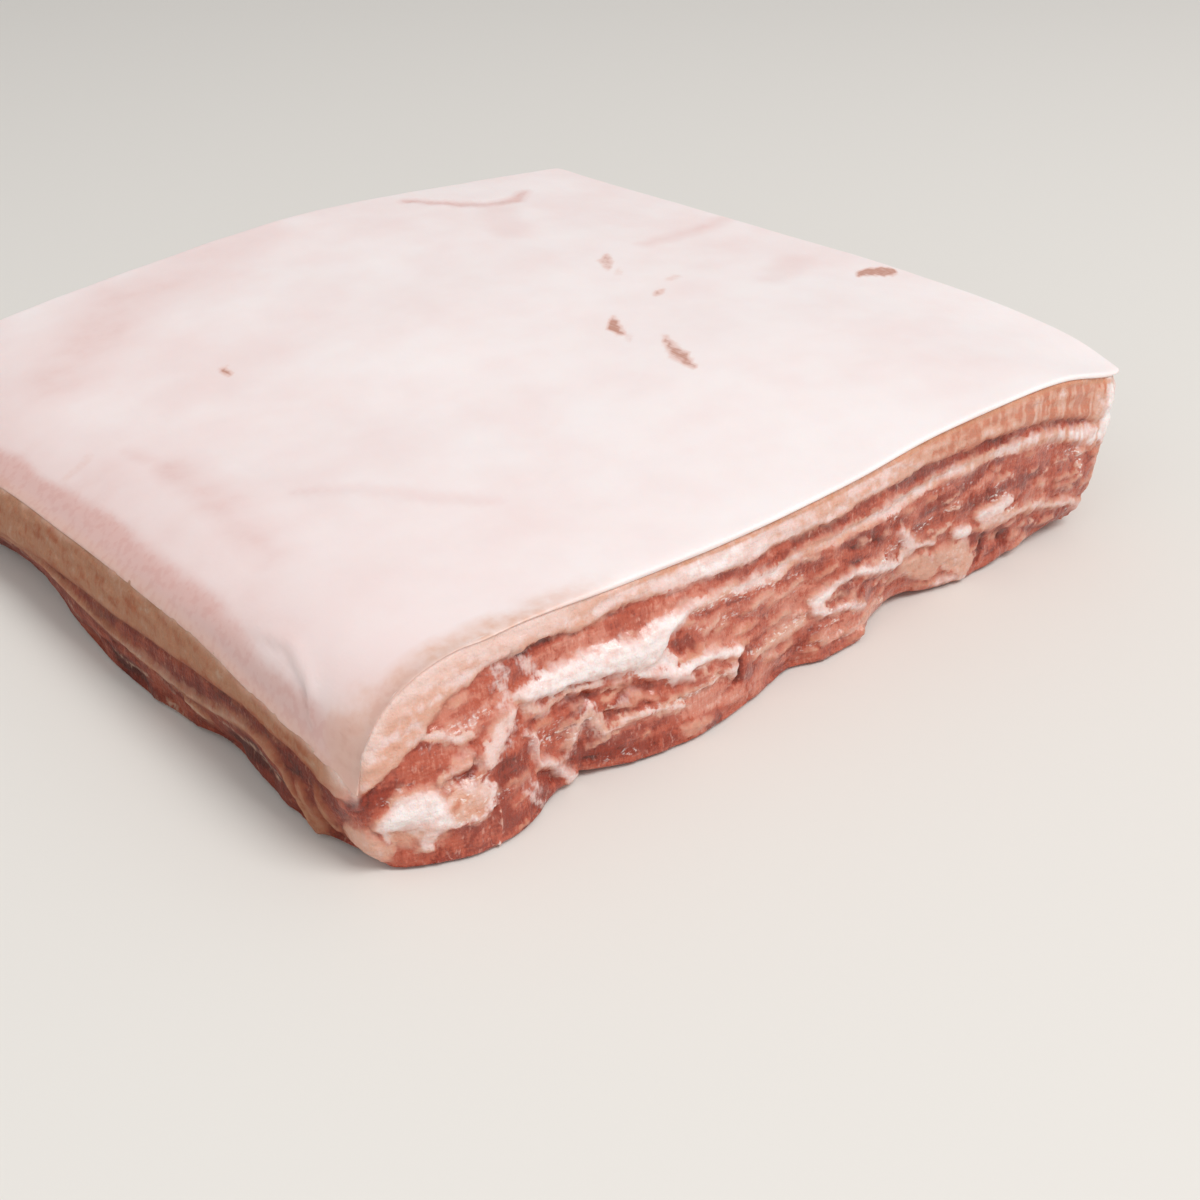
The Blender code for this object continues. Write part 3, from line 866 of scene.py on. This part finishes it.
# the left face: a mask for painted shade that darkens its colour, and for its drier, rougher surface
dry_and_shade = step(-9, -22, along) * mix(0.45, 1, step(0.2, 3.0, under_rind + 1.4 * rough(body, 5, 29)))
PAINT = {
    "fat": fat, "tone": np.clip(tone, 0, 1.2), "dark": np.clip(darkness, -1, 2), "rim": scorch,
    "veil": veil, "painted_glints": np.clip(painted_glints, 0, 1), "melt": melt, "dry_and_shade": dry_and_shade,
}
for name, values in PAINT.items():
    give_attribute(meat, name, values)
print("attributes on the meat:", ", ".join(PAINT))

# %% [markdown]
# ## Materials
#
# A material is easier to read as sums than as a picture of boxes, so one small class wraps a socket, and
# adds, multiplies and compares it with the usual signs.

# %% Shader maths
class Value:
    """A number or a colour inside a material, with the usual arithmetic for numbers."""

    def __init__(self, shader, socket):
        self.shader, self.socket = shader, socket

    def math(self, operation, *others):
        return self.shader.node("ShaderNodeMath", {"operation": operation}, (self, *others))

    def __add__(self, other):
        return self.math("ADD", other)

    __radd__ = __add__

    def __sub__(self, other):
        return self.math("SUBTRACT", other)

    def __rsub__(self, other):
        return self.shader.node("ShaderNodeMath", {"operation": "SUBTRACT"}, (other, self))

    def __mul__(self, other):
        return self.math("MULTIPLY", other)

    __rmul__ = __mul__

    def __truediv__(self, other):
        return self.math("DIVIDE", other)

    def between(self, low, high):
        """0 below low, 1 above high, and a smooth rise between them."""
        settings = {"interpolation_type": "SMOOTHSTEP", "clamp": True}
        inputs = {"Value": self, "From Min": low, "From Max": high}
        return self.shader.node("ShaderNodeMapRange", settings, inputs)


class Material:
    """A material and the few kinds of node that this lesson uses."""

    def __init__(self, name):
        self.material = bpy.data.materials.new(name)
        self.material.use_nodes = True
        self.nodes = self.material.node_tree.nodes
        self.links = self.material.node_tree.links
        self.surface = self.nodes["Principled BSDF"]

    def node(self, kind, settings, inputs, output=0):
        made = self.nodes.new(kind)
        for name, value in settings.items():
            setattr(made, name, value)
        pairs = inputs.items() if isinstance(inputs, dict) else enumerate(inputs)
        for name, value in pairs:
            self.feed(made.inputs[name], value)
        return Value(self, made.outputs[output])

    def feed(self, socket, value):
        if isinstance(value, Value):
            self.links.new(value.socket, socket)
        else:
            socket.default_value = value

    def attribute(self, name):
        return self.node("ShaderNodeAttribute", {"attribute_name": name}, (), "Fac")

    def place(self, stretch=(1, 1, 1)):
        """Object coordinates in millimetres, divided by the given lengths."""
        spot = self.node("ShaderNodeTexCoord", {}, (), "Object")
        scale = tuple(1 / (MM * length) for length in stretch)
        return self.node("ShaderNodeVectorMath", {"operation": "MULTIPLY"}, (spot, scale))

    def noise(self, lengths, detail=2.0, seed=0.0):
        """Noise from 0 to 1 with its wavelengths along X, Y and Z in mm."""
        lengths = lengths if isinstance(lengths, tuple) else (lengths,) * 3
        inputs = {"Vector": self.place(lengths), "W": seed, "Scale": 1.0, "Detail": detail}
        return self.node("ShaderNodeTexNoise", {"noise_dimensions": "4D"}, inputs)

    def blend(self, share, first, second, kind="MIX"):
        made = self.nodes.new("ShaderNodeMix")
        made.data_type = "RGBA"
        made.blend_type = kind
        self.feed(made.inputs["Factor"], share)
        self.feed(made.inputs[6], first)
        self.feed(made.inputs[7], second)
        return Value(self, made.outputs[2])

    def shades(self, value, base, steps):
        """Goes from the base colour through others, each given as (from, to, colour) of the value."""
        for low, high, shade in steps:
            base = self.blend(value.between(low, high), base, shade)
        return base

    def finish(self, **sockets):
        for name, value in sockets.items():
            self.feed(self.surface.inputs[name.replace("_", " ")], value)

    def bump(self, bumps, strength, distance):
        inputs = {"Height": bumps, "Strength": strength, "Distance": distance * MM}
        return self.node("ShaderNodeBump", {}, inputs)


def colour(red, green, blue):
    """A screen colour, 0 to 255, as the linear colour that a shader needs."""
    parts = [c / 255 for c in (red, green, blue)]
    linear = [c / 12.92 if c < 0.04045 else ((c + 0.055) / 1.055) ** 2.4 for c in parts]
    return (*linear, 1.0)


# %% [markdown]
# ## The look of raw meat
#
# Lean meat is wet and slightly see-through, so its colour runs softly, and fat near an edge of lean takes
# some of its pink. Both shades come from the carved attributes, and noise with the right grain, stretched
# along the fibres, breaks up every edge. A low roughness and a fine bump give small wet glints, and more
# glints are painted into the colour as white specks: painted highlights.

# %% Meat
PALE_LEAN, LIGHT_LEAN = colour(228, 176, 160), colour(207, 130, 109)
MID_LEAN, DARK_LEAN, DEEP_LEAN = colour(183, 91, 69), colour(147, 58, 40), colour(98, 35, 23)
WHITE_FAT, PINK_FAT = colour(243, 231, 228), colour(233, 203, 196)
PEACH_FAT, SALMON_FAT = colour(218, 166, 144), colour(200, 126, 99)
# GLINT is the colour of painted highlights
SCORCHED, MELTED, GLINT = colour(206, 144, 112), colour(232, 202, 192), colour(252, 246, 242)
DRIED_AND_SHADED = (0.57, 0.49, 0.38, 1.0)  # how far painted shade and drying darken red, green and blue on the left face

paint = Material("cut_meat")
fine = paint.noise(0.6, 2.0, 1)
middling = paint.noise(1.8, 3.0, 2)
patches = paint.noise(6.0, 2.0, 3)
fibres = paint.noise((0.7, 0.7, 3.4), 2.0, 4) * 0.6 + paint.noise((4.0, 4.0, 0.8), 2.0, 6) * 0.4
lobules = paint.node(
    "ShaderNodeTexVoronoi", {"feature": "SMOOTH_F1"},
    {"Vector": paint.place((1.7, 1.7, 2.4)), "Scale": 1.0, "Smoothness": 0.6},
)
dry_and_shade = paint.attribute("dry_and_shade")
softness = 0.35 + paint.noise(5.0, 1.0, 7).between(0.4, 0.65) * 1.6 + dry_and_shade * 0.8
edge = paint.attribute("fat") + (middling - 0.5) * 3.2 + (fibres - 0.5) * 3.0 + (fine - 0.5) * 0.8
is_fat = (edge / softness).between(-1.2, 1.0)
near_edge = 1 - edge.between(0.0, 1.5)
near_fat = edge.between(-1.8, 0.0)
flecks = paint.noise((1.0, 1.0, 2.0), 3.0, 5).between(0.57, 0.68)
flecks = flecks * paint.noise(7.0, 1.0, 8).between(0.35, 0.6)
dark = paint.attribute("dark") + (patches - 0.5) * 0.9 + (fibres - 0.5) * 2.2 + (fine - 0.5) * 0.7
dark = dark - near_fat * 0.4
lean = paint.shades(dark, PALE_LEAN, (
    (-0.6, 0.0, LIGHT_LEAN), (0.0, 0.55, MID_LEAN), (0.55, 1.1, DARK_LEAN), (1.1, 1.9, DEEP_LEAN),
))
lean = paint.blend(flecks * 0.4, lean, PALE_LEAN)
# painted highlights: white specks in the colour where the meat is marked for glints
glint = paint.noise((1.1, 1.1, 0.6), 2.0, 9).between(0.53, 0.62) * paint.attribute("painted_glints")
film = paint.attribute("veil") * (0.4 + middling) + (fibres - 0.5) * 2.0 + (middling - 0.5) * 1.2
film = film.between(0.2, 1.0) * 0.8
lean = paint.blend(film, lean, PINK_FAT)
loss = paint.attribute("tone") + (lobules - 0.4) * 0.2 + (middling - 0.5) * 0.7 + (patches - 0.5) * 0.6
loss = loss + (fibres - 0.5) * 0.35 + near_edge * 0.22
pale = paint.shades(loss, WHITE_FAT, (
    (0.0, 0.35, PINK_FAT), (0.35, 0.75, PEACH_FAT), (0.75, 1.15, SALMON_FAT),
))
base = paint.blend(is_fat, lean, pale)
base = paint.blend(paint.attribute("rim") * (0.75 + (middling - 0.5)), base, SCORCHED)
base = paint.blend(paint.attribute("melt") * (0.8 + (middling - 0.5) * 1.6), base, MELTED)
# the left face is darkened: painted shade, and the browner colour of drying
base = paint.blend(dry_and_shade, base, DRIED_AND_SHADED, "MULTIPLY")
# the painted highlights are laid into the colour
base = paint.blend(glint * 0.9, base, GLINT)
roughness = 0.3 + 0.16 * is_fat + (middling - 0.5) * 0.3 + dry_and_shade * 0.3 - glint * 0.15
bumps = fine * 0.5 + middling * 0.5 + fibres * 0.6 - lobules * is_fat * 0.4
paint.finish(Base_Color=base, Roughness=roughness, Normal=paint.bump(bumps, 0.8, 0.6))
paint.finish(Subsurface_Weight=0.25, Subsurface_Radius=(1.0, 0.4, 0.28), Subsurface_Scale=0.002)
paint.finish(Specular_IOR_Level=0.35, Coat_Roughness=0.12)
paint.finish(Coat_Weight=patches.between(0.42, 0.62) * (1 - dry_and_shade) * 0.6)
meat.data.materials.clear()
meat.data.materials.append(paint.material)

# %% [markdown]
# ## The look of the rind
#
# Scalded and scraped pig skin is pale, smooth and a little pink. It is pinker where it rolls over the thin
# left side, has a crease by the near left corner and faint lengthwise grooves, and carries a few brown
# scuffs. These are painted in the plan of the slab, with the same brush.

# %% Creases and scuffs of the rind
def plan_stroke(points):
    """How many mm the rind's points are inside a tapered stroke through (x, y, radius) points."""
    inside = np.full(len(hide), -99.0)
    for (x0, y0, r0), (x1, y1, r1) in zip(points, points[1:]):
        dx, dy = x1 - x0, y1 - y0
        t = np.clip(((hide_x - x0) * dx + (hide_y - y0) * dy) / (dx * dx + dy * dy), 0, 1)
        inside = np.maximum(inside, r0 + (r1 - r0) * t - np.hypot(hide_x - x0 - t * dx, hide_y - y0 - t * dy))
    return inside


hide = points_of(rind)
hide_normals = normals_of(rind)
hide_x = hide[:, 0] + 1.2 * rough(hide, 7, 31) + 0.5 * rough(hide, 2.2, 32)
hide_y = hide[:, 1] + 1.2 * rough(hide, 7, 33) + 0.5 * rough(hide, 2.2, 34)
edge_x = np.array([left_end(y) for y in hide[:, 1]])
from_left = np.hypot(hide[:, 0] - edge_x, hide[:, 2] - curve(LEFT_EDGE, hide[:, 1]))
from_near = hide[:, 1]
SCUFFS = (
    (0.85, ((141.5, 99, 1), (144.5, 104, 2.2), (148, 110, 0.8))),
    (0.75, ((139.5, 68, 1), (143, 76, 2.4), (146.5, 84, 1.4), (149, 89, 0.5))),
    (0.25, ((141, 94, 1.2), (143, 97, 1.2))),
    (0.6, ((173.5, 142, 0.8), (178, 148, 2.2), (183, 153, 0.8))),
    (0.25, ((172, 136, 1.4), (176, 139, 1.4))),
    (0.6, ((169.5, 115, 1), (173, 117, 1.2))),
    (0.3, ((181, 122, 1.6), (185, 124, 1.6))),
    (0.85, ((51.8, 155.6, 0.9), (53, 158.5, 1.3), (54.5, 161.5, 0.8))),
    (0.8, ((229, 91, 1), (234, 91, 3.2), (238, 89, 4.6))),
    (0.2, ((0, 144, 2), (6, 145, 2.4))),
    (0.45, ((-7.5, 0.5, 3), (-5.5, 5, 2), (-6.5, 12, 0.8))),
)
BLUSHES = (
    (0.6, 2.4, ((167, 241, 1.6), (176, 230, 2.4), (186, 220, 2.8), (197, 219, 2.2), (206, 225, 1.2))),
    (0.2, 3, ((14, 138, 1.5), (15, 128, 2))),
    (0.15, 4, ((14.5, 98, 1.2), (15, 86, 1.4))),
    (0.35, 4, ((200, 154, 1.5), (222, 156, 2.2), (240, 160, 2))),
    (0.3, 7, ((175, 192, 4), (184, 212, 5))),
    (0.3, 6, ((206, 104, 3), (226, 114, 4))),
    (0.25, 3, ((30, 82, 1.2), (41, 72, 1.8), (50, 56, 2), (58, 46, 1.2))),
    (0.3, 8, ((10, 60, 3), (18, 120, 4))),
    (0.25, 12, ((20, 190, 8), (60, 230, 10), (110, 244, 8))),
)
stain = np.zeros(len(hide))
for depth, points in SCUFFS:
    stain = np.maximum(stain, depth * step(-0.9, 0.9, plan_stroke(points)))
blush = 0.5 * step(11, 5, from_left + 3 * rough(hide, 18, 35)) + 0.2 * step(34, 8, from_left)
blush += 0.5 * step(22, 0, hide[:, 0]) * step(7, 0, from_near)
for depth, softness, points in BLUSHES:
    blush = np.maximum(blush, depth * step(-softness, softness / 2, plan_stroke(points)))
# pinker towards the back and the left: partly the skin's colour, partly painted shade
blush += 0.1 * step(60, 230, hide[:, 1]) + 0.2 * step(110, -10, hide[:, 0])

# %% Its relief
GROOVES = (
    (0.25, 2, ((28, 60, 0.2), (29, 100, 0.3), (27, 150, 0.2))),
    (0.25, 1.6, ((28, 83, 0.2), (41, 72, 0.3), (46, 60, 0.3), (56, 48, 0.2))),
    (0.12, 1.2, ((58, 52, 0.2), (84, 44, 0.2), (110, 36, 0.2))),
    (0.3, 3, ((167, 241, 0.4), (180, 226, 0.4), (197, 219, 0.4))),
)
sink = np.zeros(len(hide))
for depth, width, points in GROOVES:
    sink += depth * step(-width, 0, plan_stroke(points))
CREASE = (
    (13, 0), (15, 2), (17, 5.5), (19, 8.2), (21, 10), (25, 11), (31, 12.4), (38, 11.3), (45, 9.5), (52, 8),
)
off_crease = from_left - curve(CREASE, hide[:, 1])
in_crease = step(14, 18, hide[:, 1]) * step(50, 36, hide[:, 1])
sink += in_crease * (0.28 * step(-3.0, -0.1, off_crease) * step(1.0, 0.0, off_crease))
sink -= in_crease * 0.5 * step(5.0, 1.2, off_crease) * step(-0.1, 1.0, off_crease)
swell = 0.35 * rough(hide, 46, 36) + 0.2 * rough(hide, (14, 30, 14), 37) + 0.05 * rough(hide, 5, 38)
is_outer = step(0.0, 0.3, hide_normals[:, 2] * 0.8 - hide_normals[:, 0] * 0.5)
fade = step(0, 4, from_left) * is_outer * (1 - step(64, 36, hide[:, 0]) * step(6, 1, from_near))
lip = 0.2 * step(3.5, 0.5, from_left)
set_points(rind, hide + hide_normals * ((swell - sink) * fade + lip)[:, None])
give_attribute(rind, "stain", stain)
give_attribute(rind, "blush", np.clip(blush, 0, 1.2))
melt = step(7.5, 0.5, from_near + 3 * rough(hide, 5, 39)) * step(64, 26, hide[:, 0])
melt = np.maximum(melt, 0.7 * step(4, 0.5, from_left + rough(hide, 4, 40)))
melt = np.maximum(melt, 1.1 * step(15, 4, np.hypot(hide[:, 0] + 8.5, hide[:, 1]) + 2 * rough(hide, 6, 41)))
give_attribute(rind, "melt", melt)
print("the rind's creases are up to", round(sink.max(), 2), "mm deep")

# %% Rind
skin = Material("rind")
cloud = skin.noise(48.0, 2.0, 1)
blotch = skin.noise(16.0, 3.0, 2)
pores = skin.noise(0.9, 2.0, 3)
wrinkles = skin.noise((9.0, 16.0, 9.0), 4.0, 4)
pink = skin.attribute("blush") + (cloud - 0.5) * 0.7 + (blotch - 0.5) * 0.45 + 0.1
base = skin.blend(pink.between(-0.1, 0.5), colour(251, 238, 236), colour(243, 220, 217))
base = skin.blend(pink.between(0.4, 1.0), base, colour(226, 184, 177))
mottle = skin.noise(2.2, 3.0, 6)
base = skin.blend(skin.attribute("melt") * (0.8 + (mottle - 0.5) * 1.6), base, colour(226, 182, 164))
base = skin.blend(pink.between(0.5, 1.0) * mottle.between(0.45, 0.62) * 0.35, base, colour(214, 156, 148))
streaks = skin.noise((0.8, 3.0, 2.0), 3.0, 5)
mark = skin.attribute("stain") * (0.45 + streaks * 1.1)
base = skin.blend(mark.between(0.05, 0.45) * 0.55, base, colour(226, 180, 166))
base = skin.blend(mark.between(0.4, 0.85) * 0.8, base, colour(186, 122, 98))
bumps = pores * 0.25 + wrinkles * 1.2
skin.finish(Base_Color=base, Roughness=0.46 + (blotch - 0.5) * 0.2, Normal=skin.bump(bumps, 0.3, 0.5))
skin.finish(Subsurface_Weight=0.2, Subsurface_Radius=(1.0, 0.6, 0.5), Subsurface_Scale=0.003)
rind.data.materials.clear()
rind.data.materials.append(skin.material)

# %% [markdown]
# ## The studio
#
# A pale floor and two soft square lights, a strong one from the right and a weak one from the left, show the
# wet cut face and the curve of the rind. The camera looks down on the near left corner.

# %% Floor, light and camera
bpy.ops.mesh.primitive_plane_add(size=6, location=(0, 0, 0))
floor = bpy.context.object
floor.name = "floor"
ground = Material("floor")
ground.finish(Base_Color=colour(226, 222, 216), Roughness=0.8)
floor.data.materials.append(ground.material)

CAMERA_FROM_CORNER = np.array([-127.75, -214.73, 208.0])
camera_data = bpy.data.cameras.new("camera")
camera_data.lens = 48
camera_data.sensor_width = 36
camera = bpy.data.objects.new("camera", camera_data)
bpy.context.scene.collection.objects.link(camera)
camera.location = Vector(CORNER + CAMERA_FROM_CORNER * MM)
camera.rotation_euler = (math.radians(59.3), 0, math.radians(-39.913))
bpy.context.scene.camera = camera


def area_light(name, place, aim, size, power):
    data = bpy.data.lights.new(name, "AREA")
    data.shape = "RECTANGLE"
    data.size, data.size_y = size
    data.energy = power
    light = bpy.data.objects.new(name, data)
    bpy.context.scene.collection.objects.link(light)
    light.location = place
    light.rotation_euler = (Vector(aim) - Vector(place)).to_track_quat("-Z", "Y").to_euler()


area_light("key", (0.38, -1.24, 1.78), (0, 0, 0.02), (1.0, 1.0), 28.5)
area_light("fill", (-0.9, -0.5, 0.75), (0, 0, 0.03), (1.2, 1.2), 2.7)
world = bpy.data.worlds.new("studio")
bpy.context.scene.world = world
world.use_nodes = True
world.node_tree.nodes["Background"].inputs["Color"].default_value = (1, 1, 1, 1)
world.node_tree.nodes["Background"].inputs["Strength"].default_value = 0.5
bpy.context.scene.view_settings.view_transform = "Standard"

# %% Hand over
for piece in (rind, meat):
    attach(piece, "root")
    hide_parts("pork_belly_slab")
